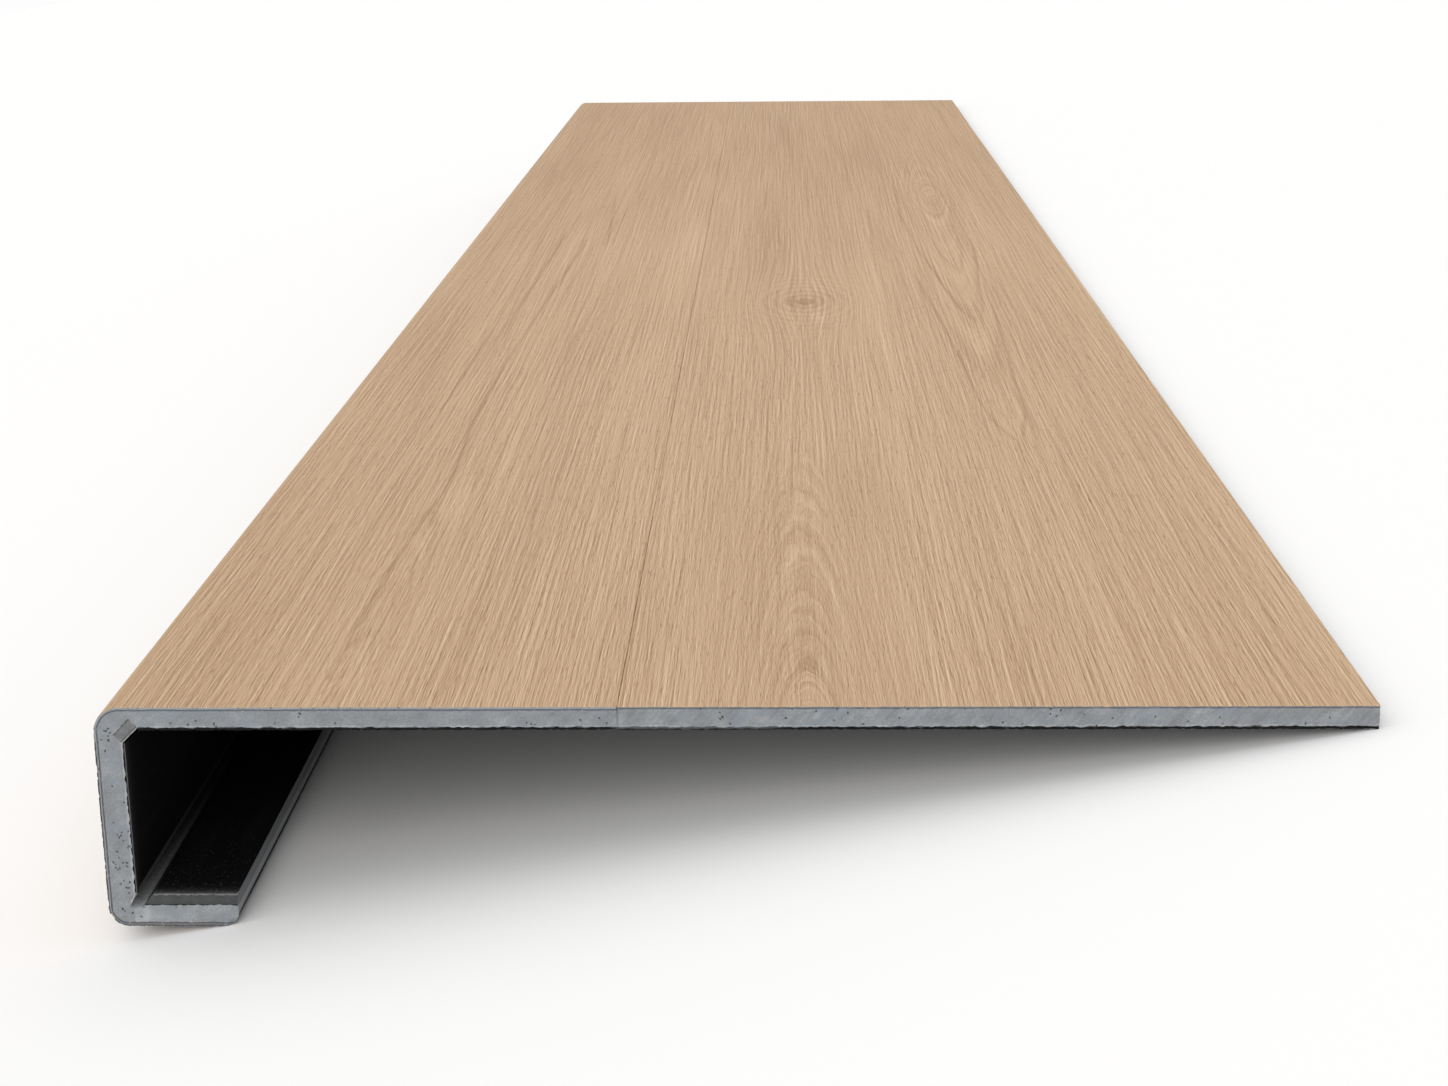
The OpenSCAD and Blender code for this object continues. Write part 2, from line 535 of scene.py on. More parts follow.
def wood_tone(u, v, figure_of):
    """How light the wood is, from 0 to 1, and the fine fibres alone."""
    wobble = 2.4 * (speckle(u / 34, v / 260, 3.1) - 0.5) + 0.5 * (speckle(u / 8, v / 120, 8.4) - 0.5)
    bend = 0.62 * patch(u, v, (KNOT_X, KNOT_Y), (16, 58))
    even_u = u + wobble - (u - KNOT_X) * bend
    figure, distance, arched = figure_of(u + 0.3 * wobble, v)
    straight = fibres(even_u, v, 0.24)
    leaning = fibres(distance, v + 3 * u, 0.2)
    fine = straight + 0.55 * arched * (leaning - straight)
    grit = 0.9 * stripes(even_u / 0.14, v / 3.5, 6.2, 1.2) * v.rise(420, 120)
    fine = fine * (1 + 0.12 * arched - 0.28 * v.rise(300, 480)) + 0.36 * grit
    lines = stripes(even_u / 0.7, v / 90, 6.6, 1.0) * (1 - 0.7 * arched)
    bands = speckle(even_u / 2.4, v / 110, 9.3) - 0.5
    broad = speckle(even_u / 14, v / 220, 1.7, 1.0) - 0.5
    clouds = speckle(u / 30, v / 150, 4.4, 1.0) - 0.5
    pores = (speckle(even_u / 0.25, v / 5, 7.7) - 0.66).math("MAXIMUM", 0.0)
    tone = 0.492 + figure + fine + 0.2 * lines
    tone = tone + 0.1 * bands + 0.09 * broad + 0.05 * clouds
    # Painted shade: a little darker towards the far end and towards the nose.
    tone = tone - 0.05 * v.rise(500, 900) - 0.035 * u.rise(60, 10)
    return tone - pores, fine


def oak_print(name, figure_of):
    """The printed film on a board's face, for one board's own figure."""
    material, x, v, z = new_finish(name, 0.65, 0.1)
    tone, fine = wood_tone(unfolded(x, z), v, figure_of)
    on_top = z.rise(NOSE_HEIGHT - 1, NOSE_HEIGHT - 0.6)
    seam = (x - SEAM_X).math("ABSOLUTE").rise(0.22, 0.1) * on_top
    tone = tone - seam * (0.12 + 0.5 * v.rise(140, 60) * speckle(x, v / 9, 3.3, 2.0))
    color = tone.ramp(OAK_TONES)
    # Painted shade: the film is dark where it turns under the return and faces the floor.
    color = mixed(color, (84, 78, 72), 0.85 * z.rise(2.6, 0.4))
    # Painted shade: grey on the front face right beside the near cut.
    shaded_front_cut_edge = v.rise(0.8, 0.3) * x.rise(2, 1) * z.rise(44, 42)
    color = mixed(color, (70, 68, 66), shaded_front_cut_edge)
    return finished(material, fine, color, 0.3, 0.00022)


oak_front = oak_print("oak_print_front_board", figure_of_front_board)
oak_back = oak_print("oak_print_back_board", figure_of_back_board)


# %% [markdown]
# ## The sawn ends and the layers that they show
#
# At the ends the saw lays every layer bare. The film shows a thin dark line between its
# wear layer and its base, the core is stone dust in vinyl, a dull blue grey with faint
# clouds, and the backing shows as a ragged black line. One finish for each layer would do,
# but the thin lines inside the film follow its outside, also round the folds. So the film's
# cut edge gets its colour from the depth below the outer surface, which a few nodes work
# out from the section's rounded corners.

# %% Depth below the outside of the section
def below_corner(x, z, corner_x, corner_z, radius):
    """Depth below two faces and the round between them. The corner's signs say where it is."""
    across = (radius - (x - corner_x[0]) * corner_x[1]).math("MAXIMUM", 0.0)
    upward = (radius - (z - corner_z[0]) * corner_z[1]).math("MAXIMUM", 0.0)
    return radius - (across * across + upward * upward).math("SQRT")


def depth_below_outside(x, z):
    """The smaller of the depths below the nose's upper corner and below its heel."""
    top = below_corner(x, z, (0, 1), (NOSE_HEIGHT, -1), TOP_EDGE_RADIUS)
    heel = below_corner(x, z, (0, 1), (0, 1), HEEL_RADIUS)
    return top.math("MINIMUM", heel)


# %% [markdown]
# The front board's film shows other lines on the leg than on top, and the back board's film
# is thinner, so there are three lists of colours by depth in millimetres. Noise moves the
# lines a little, chips the outer edge, and greys what the saw tore.

# %% Cut edges of the film
FILM_TOP_LINES = [
    (0.0, (160, 142, 122)), (0.12, (152, 146, 139)), (0.2, (140, 143, 146)),
    (0.45, (134, 137, 140)), (0.6, (80, 85, 92)), (0.78, (88, 92, 99)), (0.95, (128, 132, 135)),
]
# On the leg the first two colours are painted shade: the print's face seen edge-on, turned from the
# light.
FILM_LEG_LINES = [
    (0.0, (36, 36, 38)), (0.2, (64, 66, 68)), (0.36, (118, 120, 122)), (0.5, (140, 142, 144)),
    (0.64, (76, 78, 81)), (0.85, (84, 86, 89)), (1.0, (134, 137, 140)),
]
BACK_FILM_LINES = [
    (0.0, (166, 149, 128)), (0.16, (146, 140, 132)), (0.26, (94, 98, 104)), (0.4, (84, 89, 96)),
]


def cut_of_film(name, on_top, on_leg):
    """The cut end of a film: lines that follow its outside, uneven where the saw tore it."""
    material, x, v, z = new_finish(name, 0.75, 0.15)
    torn = speckle(x / 1.3, v / 3, z / 1.3, 2.0) - 0.5
    fine = speckle(x / 0.35, v / 2, z / 0.35, 1.0) - 0.5
    depth = depth_below_outside(x, z) + 0.3 * torn
    upper = z.rise(UNDERSIDE_Z - 3, UNDERSIDE_Z - 1)
    color = mixed(depth.ramp(on_leg), depth.ramp(on_top), upper)
    color = mixed(color, (86, 88, 90), 0.5 * z.rise(2.2, 1.2))
    chips = speckle(x / 0.8, v / 3, z / 0.8 + 5, 1.0).rise(0.6, 0.68) * depth.rise(0.42, 0.3)
    color = mixed(color, (92, 88, 82), 0.75 * chips)
    wear = (torn - 0.12).math("MAXIMUM", 0.0) * 6
    color = mixed(color, (138, 141, 144), wear.math("MINIMUM", 1.0))
    return finished(material, fine, color)


film_cut_front = cut_of_film("film_cut_front_board", FILM_TOP_LINES, FILM_LEG_LINES)
film_cut_back = cut_of_film("film_cut_back_board", BACK_FILM_LINES, BACK_FILM_LINES)


# %% [markdown]
# The core's cut end is the largest face that looks at the camera, so it gets the most
# layers of noise: soft clouds, bluish patches, saw streaks that run up to the right, fine
# dust, and a lighter torn rim along its underside. Pits are cut into the mesh further on.

# %% Cut end of the core
CORE_FOOT_Z = UNDERSIDE_Z + 0.6
CORE_TONES = [(0.0, (90, 92, 94)), (0.5, (131, 134, 137)), (1.0, (171, 174, 177))]


def cut_of_core():
    """The core's cut end, with a torn rim under the top and the seam between the boards."""
    material, x, v, z = new_finish("core_cut", 0.8, 0.15)
    clouds = speckle(x / 5, v / 6, z / 4, 2.0) - 0.5
    blue = speckle(x / 9, v / 9 + 7, z / 3, 1.0)
    dust = speckle(x / 0.45, v / 0.8, z / 0.45, 2.0) - 0.5
    along = (x + 1.1 * z) / 9
    streaks = speckle((x - 0.9 * z) / 1.3, v / 9, along, 2.0) - 0.5
    on_back = x.rise(SEAM_X - 20, SEAM_X + 10)
    tone = 0.47 + 0.6 * clouds + 0.5 * dust + (0.2 + 0.25 * on_back) * streaks
    ragged = speckle(x / 1.1, v / 4, 3.3, 2.0) - 0.5
    patchy = speckle(x / 9, v / 9, 5.1, 1.0)
    under_top = x.rise(8.8, 9.4) * z.rise(UNDERSIDE_Z - 1, UNDERSIDE_Z)
    rim = (z - 0.9 * ragged).rise(CORE_FOOT_Z + 0.47, CORE_FOOT_Z + 0.27) * under_top
    tone = tone + 0.8 * rim * (patchy - 0.32)
    top_line = (z + 0.3 * ragged).rise(NOSE_HEIGHT - 0.66, NOSE_HEIGHT - 0.5)
    tone = tone - 0.42 * top_line * x.rise(SEAM_X - 0.2, SEAM_X)
    inner_leg = (x - 5.25).rise(0.0, 0.3) * z.rise(44, 43) * x.rise(9, 8)
    tone = tone + 0.2 * inner_leg + 0.07 * z.rise(6, 4) * x.rise(7, 9)
    tone = tone - 0.3 * ((x - SEAM_X) / 0.22).bell()
    color = tone.math("MAXIMUM", 0.0).ramp(CORE_TONES)
    color = mixed(color, (120, 130, 139), 0.5 * blue.rise(0.5, 0.75))
    uneven = z + 1.1 * (speckle(x / 2.3, v / 4, 8.8, 2.0) - 0.5)
    chipped = uneven.rise(CORE_FOOT_Z + 0.15, CORE_FOOT_Z) * under_top
    color = mixed(color, (62, 63, 65), 0.85 * chipped)
    return finished(material, dust + streaks, color, 0.35)


core_cut = cut_of_core()


# %% [markdown]
# The filler, the pad and the backing are cut by the same saw. The filler sits in the fold
# with a pitted border and a bright torn edge. The pad is a mottled dark foam whose upper
# edge is frayed and pale.

# %% Cut ends of the filler, the pad and the backing
FILLER_FOOT_X = 9.1
PAD_TOP_Z = RETURN_THICKNESS + 2.6


def cut_of_filler():
    """The filler's cut end. Its depth is measured from the slanted face in the open corner."""
    material, x, v, z = new_finish("filler_cut", 0.8, 0.15)
    clouds = speckle(x / 1.6, v / 5, z / 1.6, 2.0) - 0.5
    dust = speckle(x / 0.4, v / 1.5, z / 0.4, 1.0) - 0.5
    depth = (z - x - (CORE_FOOT_Z - FILLER_FOOT_X)) / math.sqrt(2)
    ragged_depth = depth + 0.5 * clouds
    edge = ragged_depth.rise(0.32, 0.16)
    groove = ragged_depth.rise(0.2, 0.34) * ragged_depth.rise(0.72, 0.5)
    border = (depth + 1.2 * dust).rise(2.25, 2.6)
    tone = 0.5 + 0.8 * clouds + 0.9 * dust
    color = mixed((88, 89, 90), (124, 125, 126), tone.math("MAXIMUM", 0.0))
    color = mixed(color, (80, 81, 83), 0.75 * groove)
    color = mixed(color, (150, 152, 153), 0.85 * edge)
    color = mixed(color, (66, 67, 69), 0.8 * border)
    return finished(material, tone, color)


def cut_of_pad():
    """The pad's cut end, frayed pale at the top and dark where it is glued on."""
    material, x, v, z = new_finish("pad_cut", 0.9, 0.1)
    clouds = speckle(x / 2.2, v / 5, z / 1.1, 2.0) - 0.5
    dust = speckle(x / 0.35, v / 1.5, z / 0.35, 1.0) - 0.5
    tone = 0.5 + 0.9 * clouds + 0.5 * dust
    color = mixed((50, 51, 52), (85, 86, 87), tone.math("MAXIMUM", 0.0))
    top = z + (speckle(x / 0.9, v / 3, 1.2, 2.0) - 0.5)
    frayed = top.rise(PAD_TOP_Z - 0.45, PAD_TOP_Z - 0.1)
    color = mixed(color, (124, 125, 126), 0.8 * frayed)
    foot = (z + 0.25 * clouds).rise(RETURN_THICKNESS + 0.3, RETURN_THICKNESS + 0.12)
    color = mixed(color, (36, 36, 37), 0.85 * foot)
    return finished(material, tone, color, 0.4)


def cut_of_backing():
    """The backing's cut end, with a pale torn stretch behind the seam and a line on the leg."""
    material, x, v, z = new_finish("backing_cut", 0.9, 0.05)
    torn = speckle(x / 1.6, v / 4, z, 2.0) - 0.5
    tone = 0.5 + torn
    color = mixed((14, 14, 15), (34, 34, 35), tone)
    height = z + 0.5 * torn
    pale = x.rise(SEAM_X - 2, SEAM_X + 1) * (x + 9 * torn).rise(141, 135)
    pale = pale * height.rise(UNDERSIDE_Z + 0.22, UNDERSIDE_Z + 0.34)
    color = mixed(color, (84, 86, 88), 0.85 * pale)
    inside = x + 0.25 * torn
    line = inside.rise(6.0, 6.1) * inside.rise(6.28, 6.18) * z.rise(41, 40)
    color = mixed(color, (98, 99, 101), 0.75 * line)
    return finished(material, tone, color, 0.4)


filler_cut = cut_of_filler()
pad_cut = cut_of_pad()
backing_cut = cut_of_backing()


# %% [markdown]
# The faces that run lengthwise are quieter. The backing, the pad's top and the folds'
# notches are black, painted paler near both ends as light that falls in from the open ends,
# with pale specks there. The back edge and the return's end were sawn lengthwise, so their
# streaks run along the board.

# %% Lengthwise faces
def black_lit_near_ends(name, dark, dust, reach):
    """A black face, painted lighter near both ends as light falling in; dust is that colour, reach
    its fall-off.
    """
    material, x, v, z = new_finish(name, 0.9, 0.04)
    inward = END_Y - (v - END_Y).math("ABSOLUTE")
    grain = speckle(x / 0.8, v, z / 0.8, 2.0)
    scuffs = speckle(x / 7, v / 60, z / 7, 2.0)
    specks = speckle(x / 0.3, v / 0.7, z / 0.3, 1.0).rise(0.66, 0.76)
    # Painted light: paler near both ends, as if light fell in only there, with pale specks there too.
    painted_end_light = inward.fade(reach) * (0.4 + 1.2 * grain) + 0.8 * specks * inward.fade(25)
    color = mixed(dark, [c + 10 for c in dark], grain)
    color = mixed(color, [c + 16 for c in dark], 0.5 * scuffs.rise(0.55, 0.75))
    # The face along the leg's inside is painted grey near the ends, fading the same way.
    under_leg = (x - LEG_THICKNESS).math("ABSOLUTE").rise(0.5, 0.3) * z.rise(8.6, 7.8)
    color = mixed(color, (84, 85, 86), under_leg * inward.fade(40))
    color = mixed(color, dust, painted_end_light.math("MINIMUM", 1.0))
    return finished(material, grain, color, 0.5, 0.0002)


def sawn_lengthwise(name, dark, light):
    """A face that was sawn along the board: long streaks and a few marks across."""
    material, x, v, z = new_finish(name, 0.8, 0.15)
    streaks = speckle(x / 0.5, v / 30, z / 0.4, 2.0) - 0.5
    marks = speckle(x / 3, v / 1.2, z / 6, 1.0) - 0.5
    tone = 0.5 + 1.1 * streaks + 0.3 * marks
    color = mixed(dark, light, tone.math("MAXIMUM", 0.0))
    return finished(material, tone, color)


backing_face = black_lit_near_ends("backing_sheet", (8, 8, 8), (40, 40, 41), 1.6)
pad_face = black_lit_near_ends("return_pad", (9, 9, 9), (96, 97, 98), 1)
bevel_face = black_lit_near_ends("pad_bevel", (10, 10, 10), (76, 77, 78), 8)
notch_face = black_lit_near_ends("fold_notch", (24, 24, 25), (168, 170, 172), 18)
# Painted light: the notch's face under the leg lies in shade, but is painted grey and almost white
# near the ends.
notch_leg_face = black_lit_near_ends("fold_notch_in_leg", (60, 60, 61), (250, 251, 252), 45)
filler_face = black_lit_near_ends("fold_filler", (30, 30, 31), (100, 101, 102), 4)
# Painted shade: the film's round at the return's free end is near-black, as it looks turned from the
# light.
lip_round_painted_shade = black_lit_near_ends("film_round_lip_painted_shade", (22, 22, 23), (88, 89, 90), 5)
core_side = sawn_lengthwise("core_sawn_lengthwise", (106, 109, 112), (160, 163, 166))
pad_side = sawn_lengthwise("pad_sawn_lengthwise", (84, 86, 88), (130, 132, 134))
# Painted shade: the pits' floors are a darker grey than the core's cut end.
pit_floor_painted_shade = sawn_lengthwise("pit", (62, 64, 66), (98, 100, 102))


# %% [markdown]
# ## Sawn copies of the CAD parts
#
# A saw leaves its marks only at the two ends. A copy of each CAD part is merged, sliced a
# little behind each end, and cut into a fine grid there, so the end faces have enough
# corners to be moved. All parts share one grid, so corners that two parts share can move
# together and no gap opens.

# %% Copies
CAP = 0.6
PITCH = 0.4
TINY = 0.001
MERGE_WITHIN = 0.004
SAME_SPOT = 0.01
CUT_WITHIN = 0.0001


def from_node(name):
    """A bmesh of one CAD part in section millimetres, merged, with its flat faces whole."""
    bm = bmesh.new()
    bm.from_mesh(frame["nodes"][name].data)
    bmesh.ops.transform(bm, matrix=TO_SECTION, verts=bm.verts)
    bmesh.ops.remove_doubles(bm, verts=bm.verts, dist=MERGE_WITHIN)
    bmesh.ops.dissolve_limit(bm, angle_limit=math.radians(1), verts=bm.verts, edges=bm.edges)
    return bm


def runs_at(edge, x, z):
    """Whether an edge lies along the tread at a spot of the section."""
    return all(max(abs(v.co.x - x), abs(v.co.z - z)) < SAME_SPOT for v in edge.verts)


def ease_edges(bm, spots, width):
    """Takes the sharpness off the long edges that lie at the given (x, z) spots."""
    long_edges = [e for e in bm.edges if any(runs_at(e, x, z) for x, z in spots)]
    bmesh.ops.bevel(bm, geom=long_edges, offset=width, affect="EDGES", segments=1,
                    profile=0.5, material=-1)
    print("  eased", len(long_edges), "edges")


def cut(bm, geom, at, normal):
    """Cuts what is given along a plane, and keeps both sides."""
    bmesh.ops.bisect_plane(bm, geom=geom, dist=CUT_WITHIN, plane_co=[at * n for n in normal],
                           plane_no=normal)


def in_caps(bm):
    """The faces of the slices at both ends."""
    return [f for f in bm.faces if abs(f.calc_center_median().y) > END_Y - CAP]


def geometry_of(faces):
    """The faces with their edges and corners, as a cut wants them."""
    edges = {e for f in faces for e in f.edges}
    verts = {v for f in faces for v in f.verts}
    return list(faces) + list(edges) + list(verts)


def cut_grid(bm):
    """Cuts a slice off both ends, and the slices along x and z into small cells."""
    for side in (-1, 1):
        cut(bm, bm.verts[:] + bm.edges[:] + bm.faces[:], side * (END_Y - CAP), (0, 1, 0))
    for axis, normal in ((0, (1, 0, 0)), (2, (0, 0, 1))):
        places = [v.co[axis] for f in in_caps(bm) for v in f.verts]
        first = math.ceil((min(places) + TINY) / PITCH)
        last = math.floor((max(places) - TINY) / PITCH)
        for k in range(first, last + 1):
            at = k * PITCH
            crossed = []
            for f in in_caps(bm):
                spread = [v.co[axis] for v in f.verts]
                if min(spread) < at - TINY and max(spread) > at + TINY:
                    crossed.append(f)
            cut(bm, geometry_of(crossed), at, normal)


# %% [markdown]
# The saw's push on a corner is worked out from its place alone, so a corner that two parts
# share moves the same way in both. Where a corner lies in the open, the push is turned
# inwards, so the outline gets ragged but never grows. A corner just behind such an outline
# is turned with it, or the small face between them would fold over. A few nicks are deeper,
# as on the real tread's outer edge. A nick is the x and z of its place, its depth and its
# half width.

# %% Torn edges and saw marks
TEAR = 0.26
SHORT_EDGE = 0.75 * PITCH
KEY_STEP = 0.02
FAR_END_SEED = 3.7
OTHER_NOISE = Vector((31, 7, 0))
NICKS = [
    (0, 34.7, 0.45, 0.7), (0.8, 2.2, 0.35, 0.7), (0.1, 5.4, 0.25, 0.6), (0, 28.9, 0.18, 0.4),
    (0, 12.4, 0.2, 0.5),
]


def wander(spot, size):
    """A push across the section that changes smoothly over about this many millimetres."""
    return Vector((noise.noise(spot / size), 0, noise.noise(spot / size + OTHER_NOISE)))


def push_of_saw(co):
    """How far the saw moves a corner: across the section, and back from the end."""
    seed = FAR_END_SEED if co.y > 0 else 0
    spot = Vector((co.x, co.z, seed))
    push = TEAR * (wander(spot, 0.9) + 0.7 * wander(spot, 2.6))
    dip = max(0, 0.05 + 0.1 * noise.noise(spot / 1.5) + 0.06 * noise.noise(spot / 0.5))
    if co.x > SEAM_X:
        slant = Vector(((co.x - 0.9 * co.z) / 1.5, (co.x + co.z) / 12, seed))
        dip = max(0, dip + 0.1 * noise.noise(slant))
    nicks = NICKS if co.y < 0 else []
    for x, z, deep, wide in nicks:
        gap = (co.x - x) ** 2 + (co.z - z) ** 2
        push.x += deep * math.exp(-gap / wide ** 2)
    return push, dip


def centre_key(face):
    """A face's middle as whole numbers, the same for two faces that lie on each other."""
    return tuple(round(c / KEY_STEP) for c in face.calc_center_median())


def on_side(face):
    """Whether a face runs along the tread, and isn't part of an end face."""
    return abs(face.normal.y) < 0.5


def open_sides(v, meeting):
    """Which ways the uncovered sides look that a corner lies on."""
    return [f.normal for f in v.link_faces if on_side(f) and meeting[centre_key(f)] < 2]


def tear(bm, meeting):
    """Moves every corner of both end faces."""
    moves = []
    for v in bm.verts:
        if abs(v.co.y) < END_Y - TINY:
            continue
        push, dip = push_of_saw(v.co)
        sides = open_sides(v, meeting)
        if not any(on_side(f) for f in v.link_faces):
            for e in v.link_edges:
                if e.calc_length() < SHORT_EDGE:
                    sides += open_sides(e.other_vert(v), meeting)
        for n in sides:
            outward = push.dot(n)
            if outward > 0:
                push -= 2 * outward * n
        moves.append((v, push, dip))
    for v, push, dip in moves:
        v.co += Vector((push.x, math.copysign(dip, -v.co.y), push.z))


# %% [markdown]
# Where a grain of stone broke out, the saw left a pit. Grid cells are picked at random, most
# of them in the clusters that the real end shows, and each is inset and pushed in. A cluster
# is the x and z of its middle, its half width and height, and the chance in its middle.

# %% Pits
PIT_CLUSTERS = [
    (12, 46.2, 1.6, 0.5, 0.16), (16.5, 45.4, 2.0, 0.8, 0.16), (27, 44.3, 3.0, 0.4, 0.08),
    (3.6, 19, 1.3, 2.0, 0.20), (3.4, 14.5, 1.3, 2.5, 0.22), (4.4, 9.5, 1.0, 1.6, 0.2),
    (3.4, 4.8, 1.2, 0.9, 0.25), (2.4, 41.5, 0.8, 2.0, 0.15), (6.5, 2.6, 1.0, 0.8, 0.12),
    (126, 46.3, 1.5, 0.6, 0.10), (138, 45.0, 3.0, 0.6, 0.08),
]
STRAY_PITS = 0.006
FAR_END_PITS = 0.012
SMALLEST_CELL = 0.12
DEEP_PIT = (0.09, 0.3)
SHALLOW_PIT = (0.13, 0.2)


def chance_of_pit(co):
    """How likely a cell at a place is to be a pit."""
    chance = STRAY_PITS
    for x, z, wide, high, peak in PIT_CLUSTERS:
        chance += peak * math.exp(-((co.x - x) / wide) ** 2 - ((co.z - z) / high) ** 2)
    return chance if co.y < 0 else FAR_END_PITS


def is_whole_cell(face):
    """Whether a face is a nearly full cell of the grid on an end face."""
    at_end = abs(face.calc_center_median().y) > END_Y - CAP / 2
    flat = abs(face.normal.y) > 0.7 and len(face.verts) == 4
    return flat and at_end and face.calc_area() > SMALLEST_CELL


def pit_ends(bm, draw, index):
    """Pushes picked cells in, deep and shallow by turns, and paints their floors darker as shade."""
    cells = [f for f in bm.faces if is_whole_cell(f)]
    picked = [f for f in cells if draw.random() < chance_of_pit(f.calc_center_median())]
    for some, (border, deep) in ((picked[0::2], DEEP_PIT), (picked[1::2], SHALLOW_PIT)):
        bmesh.ops.inset_individual(bm, faces=some, thickness=border, depth=-deep)
        for f in some:
            f.material_index = index
    print("  pits:", len(picked))


# %% Pieces of the tread
def put_in_scene(bm, name, node, materials):
    """Lays a finished bmesh as the tread lies, and makes it the piece that stands for a node."""
    bmesh.ops.transform(bm, matrix=TO_WORLD, verts=bm.verts)
    mesh = bpy.data.meshes.new(name)
    bm.to_mesh(mesh)
    bm.free()
    for material in materials:
        mesh.materials.append(material)
    piece = bpy.data.objects.new(name, mesh)
    bpy.context.scene.collection.objects.link(piece)
    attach(piece, "root")
    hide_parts(node)
    print(name, "has", len(mesh.polygons), "faces")


# %% [markdown]
# Each part is a row: the CAD node that it replaces, its own name, its material slot, its list
# of finishes and a rule. The second finish is for the cut ends. For a lengthwise face the
# rule gives the finish's place in the list: the film's round at the free end of the return,
# the two sides of the notch, and the pad's sawn side and bevel differ from the rest. The
# edges along the seam and the back are eased a little, at the spots that EASED gives.

# %% The nine parts
NOTCH_X = (4, 7.6)
NOTCH_Z = (4, 7.5)
NOTCH_CORNER_X = 5.9
EASED_WIDTH = 0.15


def film_rule(face):
    at = face.calc_center_median()
    return 2 if at.x > RETURN_DEPTH - LIP_RADIUS * 0.6 and at.z < LIP_RADIUS + 0.1 else 0


def core_rule(face):
    at = face.calc_center_median()
    if not (NOTCH_X[0] < at.x < NOTCH_X[1] and NOTCH_Z[0] < at.z < NOTCH_Z[1]):
        return 0
    return 3 if at.x < NOTCH_CORNER_X and at.z > RETURN_THICKNESS else 2


def pad_rule(face):
    at = face.calc_center_median()
    if at.x > RETURN_DEPTH - 0.1:
        return 2
    return 3 if abs(face.normal.x) > 0.2 else 0


def plain_rule(face):
    return 0


CORE_FINISHES = [core_side, core_cut, notch_face, notch_leg_face, pit_floor_painted_shade]
PAD_FINISHES = [pad_face, pad_cut, pad_side, bevel_face]
BACKING_FINISHES = [backing_face, backing_cut]
PARTS = [
    ("nosing_decor", "oak_film_front", "oak_print", [oak_front, film_cut_front, lip_round_painted_shade], film_rule),
    ("back_board_decor", "oak_film_back", "oak_print", [oak_back, film_cut_back], plain_rule),
    ("nosing_core", "core_front", "mineral_core", CORE_FINISHES, core_rule),
    ("back_board_core", "core_back", "mineral_core", CORE_FINISHES, plain_rule),
    ("fold_filler_strip", "filler_strip", "fold_filler", [filler_face, filler_cut], plain_rule),
    ("backing_under_top", "backing_top", "backing_sheet", BACKING_FINISHES, plain_rule),
    ("backing_behind_front", "backing_leg", "backing_sheet", BACKING_FINISHES, plain_rule),
    ("return_pad", "pad", "return_pad", PAD_FINISHES, pad_rule),
    ("back_board_backing", "backing_back", "backing_sheet", BACKING_FINISHES, plain_rule),
]
EASED = {
    "nosing_decor": [(SEAM_X, NOSE_HEIGHT)],
    "back_board_decor": [(SEAM_X, NOSE_HEIGHT), (TREAD_DEPTH, NOSE_HEIGHT)],
}

# %% [markdown]
# First all parts get their grids, so that it is known where two parts meet. Then each one is
# torn and pitted, in the same order and from one random stream, and put in the scene.

# %% Sawing
RANDOM_SEED = 11
meshes = {}
meeting = Counter()
for node, name, slot, materials, rule in PARTS:
    bm = from_node(node)
    if node in EASED:
        ease_edges(bm, EASED[node], EASED_WIDTH)
    cut_grid(bm)
    meeting.update(centre_key(f) for f in in_caps(bm) if on_side(f))
    meshes[node] = bm

draw = random.Random(RANDOM_SEED)
for node, name, slot, materials, rule in PARTS:
    bm = meshes[node]
    for f in bm.faces:
        f.material_index = rule(f) if on_side(f) else 1
    tear(bm, meeting)
    if pit_floor_painted_shade in materials:
        pit_ends(bm, draw, materials.index(pit_floor_painted_shade))
    put_in_scene(bm, name, node, materials)


# %% [markdown]
# ## The floor
#
# The photo has a white ground without a horizon. One big square does it, so far across that
# its edge is lost in the distance. Its tone is a little below white, so it doesn't clip.

# %% Floor
FLOOR_HALF = 150
FLOOR_TONE = 0.98

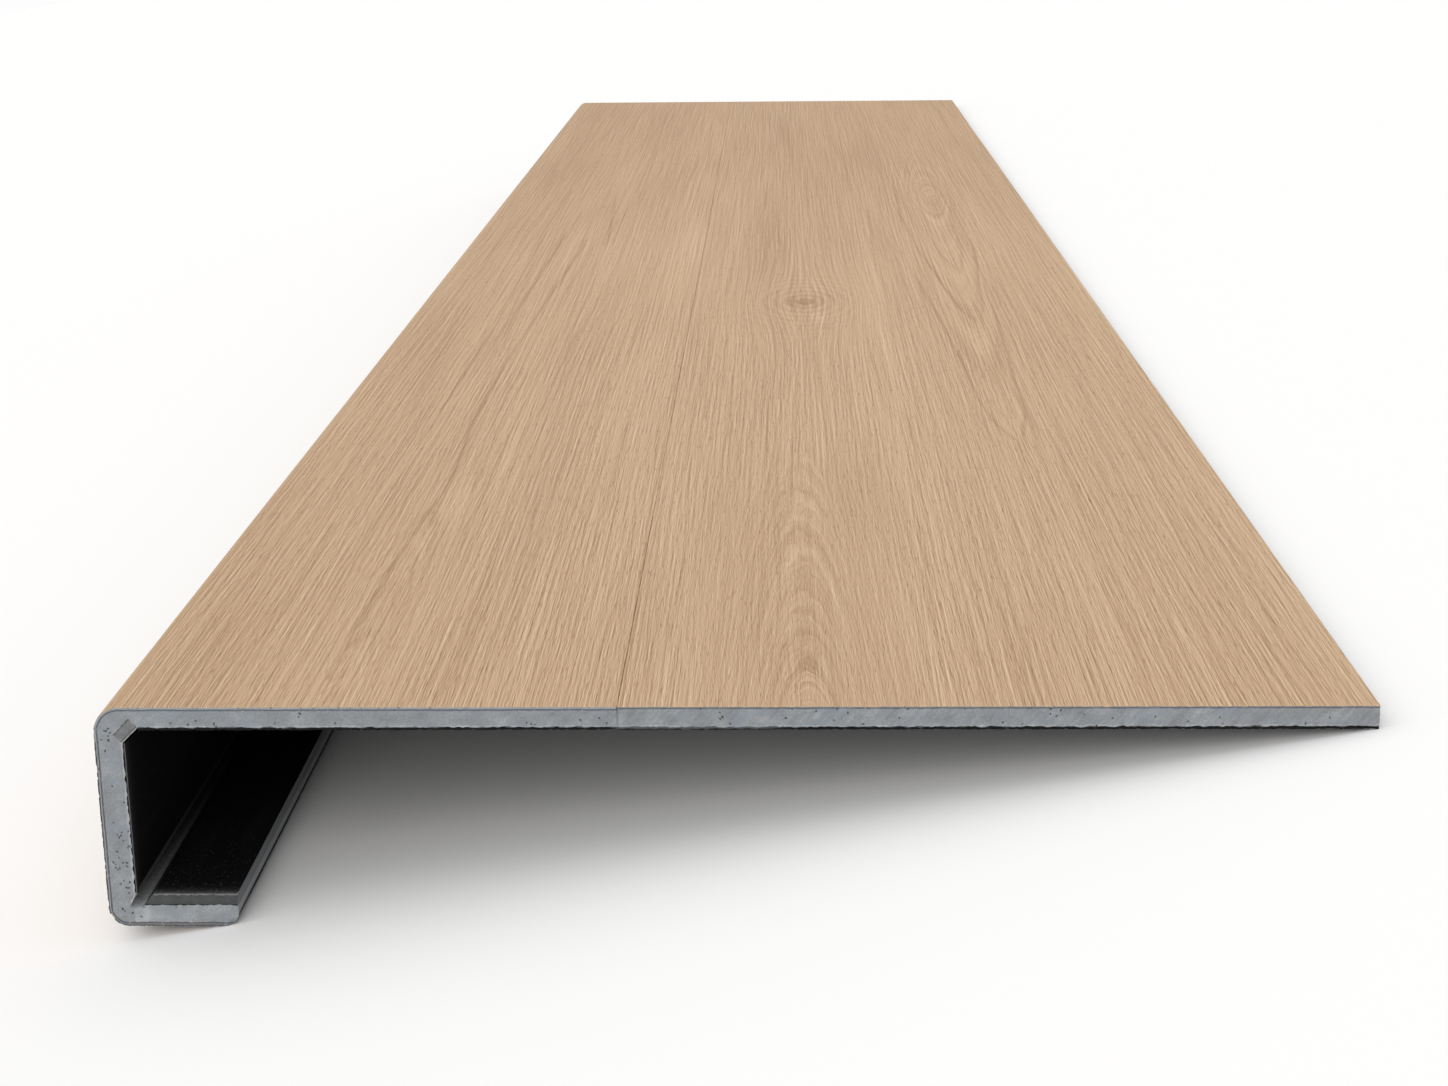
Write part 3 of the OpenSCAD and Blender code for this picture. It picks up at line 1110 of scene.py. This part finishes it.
bm = bmesh.new()
bmesh.ops.create_grid(bm, x_segments=1, y_segments=1, size=FLOOR_HALF)
mesh = bpy.data.meshes.new("floor")
bm.to_mesh(mesh)
bm.free()
floor = bpy.data.objects.new("floor", mesh)
bpy.context.scene.collection.objects.link(floor)
floor_finish = bpy.data.materials.new("pale_floor")
floor_finish.use_nodes = True
floor_shader = floor_finish.node_tree.nodes["Principled BSDF"]
floor_shader.inputs["Base Color"].default_value = (FLOOR_TONE, FLOOR_TONE, FLOOR_TONE, 1)
floor_shader.inputs["Roughness"].default_value = 1
floor_shader.inputs["Specular IOR Level"].default_value = 0
mesh.materials.append(floor_finish)
print("Floor:", 2 * FLOOR_HALF, "m wide")

# %% [markdown]
# ## The light
#
# One soft shadow is darkest under the tread. Light from all around and two very broad lamps
# give it, one low from the camera's side and one from above at the left. The lamps' energies
# were found by rendering each light alone and adding the pictures up until the shadow's rows
# matched. The camera sees the world at almost full white, and the floor is lit to the same
# level, so no horizon shows. A lamp is its name, its energy, how many degrees wide it is, and
# which way it lies from the tread.

# %% World and lamps
SKY_COLOR = (1, 1, 1, 1)
SKY_LIGHT = 0.75
SEEN_SKY_LIGHT = 0.985
LAMP_COLOR = (1, 0.98, 0.96)
LAMPS = [
    ("side_lamp", 0.4, 60, (-0.7, 0.2, 1)),
    ("front_lamp", 1.5, 55, (0.1, -1, 0.38)),
]

world = bpy.data.worlds.new("studio")
bpy.context.scene.world = world
world.use_nodes = True
tree = world.node_tree
sky = tree.nodes["Background"]
sky.inputs["Color"].default_value = SKY_COLOR
rays = tree.nodes.new("ShaderNodeLightPath").outputs
seen = Wire(tree, rays["Is Camera Ray"])
for kind in ("Is Glossy Ray", "Is Transmission Ray"):
    seen = seen.math("MAXIMUM", Wire(tree, rays[kind]))
strength = SKY_LIGHT + (SEEN_SKY_LIGHT - SKY_LIGHT) * seen
tree.links.new(strength.socket, sky.inputs["Strength"])

for name, energy, softness, toward in LAMPS:
    lamp = bpy.data.objects.new(name, bpy.data.lights.new(name, "SUN"))
    bpy.context.scene.collection.objects.link(lamp)
    lamp.data.energy = energy
    lamp.data.color = LAMP_COLOR
    lamp.data.angle = math.radians(softness)
    lamp.rotation_mode = "QUATERNION"
    lamp.rotation_quaternion = Vector(toward).to_track_quat("Z", "Y")
    print(name, "has an energy of", energy, "and is", softness, "degrees wide")
